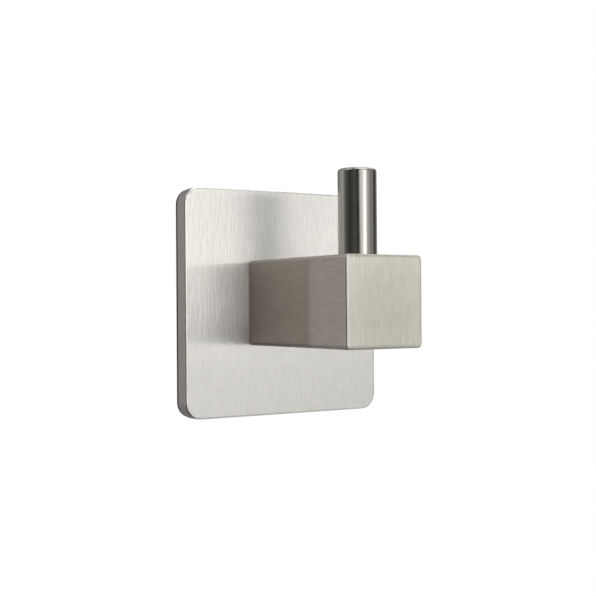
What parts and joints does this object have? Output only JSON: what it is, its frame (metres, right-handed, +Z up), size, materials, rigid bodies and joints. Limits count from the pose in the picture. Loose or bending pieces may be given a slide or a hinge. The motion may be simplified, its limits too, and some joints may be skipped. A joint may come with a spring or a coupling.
{
  "type": "coat hook",
  "caption": "Square wall plate with a solid square arm and an upright round peg at its front, to hang a coat, bag or towel on.",
  "frame": {"origin": "centre of the foam tape's wall face, the middle of the plate", "axes": "+Z up, +Y into the wall, +X to the right for someone who looks at the wall; the hook stands out along -Y"},
  "size_m": [0.05, 0.0416, 0.0521],
  "materials": {
    "plate_steel": "satin, brushed up and down",
    "arm_steel": "satin, sides brushed along the arm, end brushed up and down",
    "peg_steel": "fine turned satin",
    "screw_steel": "plain bright",
    "tape_foam": "matt fine-celled foam"
  },
  "bodies": {
    "root": {"foam_tape": "tape_foam", "back_plate": "plate_steel", "arm": "arm_steel", "peg": "peg_steel", "arm_screw_upper": "screw_steel", "arm_screw_lower": "screw_steel", "peg_stud": "screw_steel"}
  },
  "joints": []
}
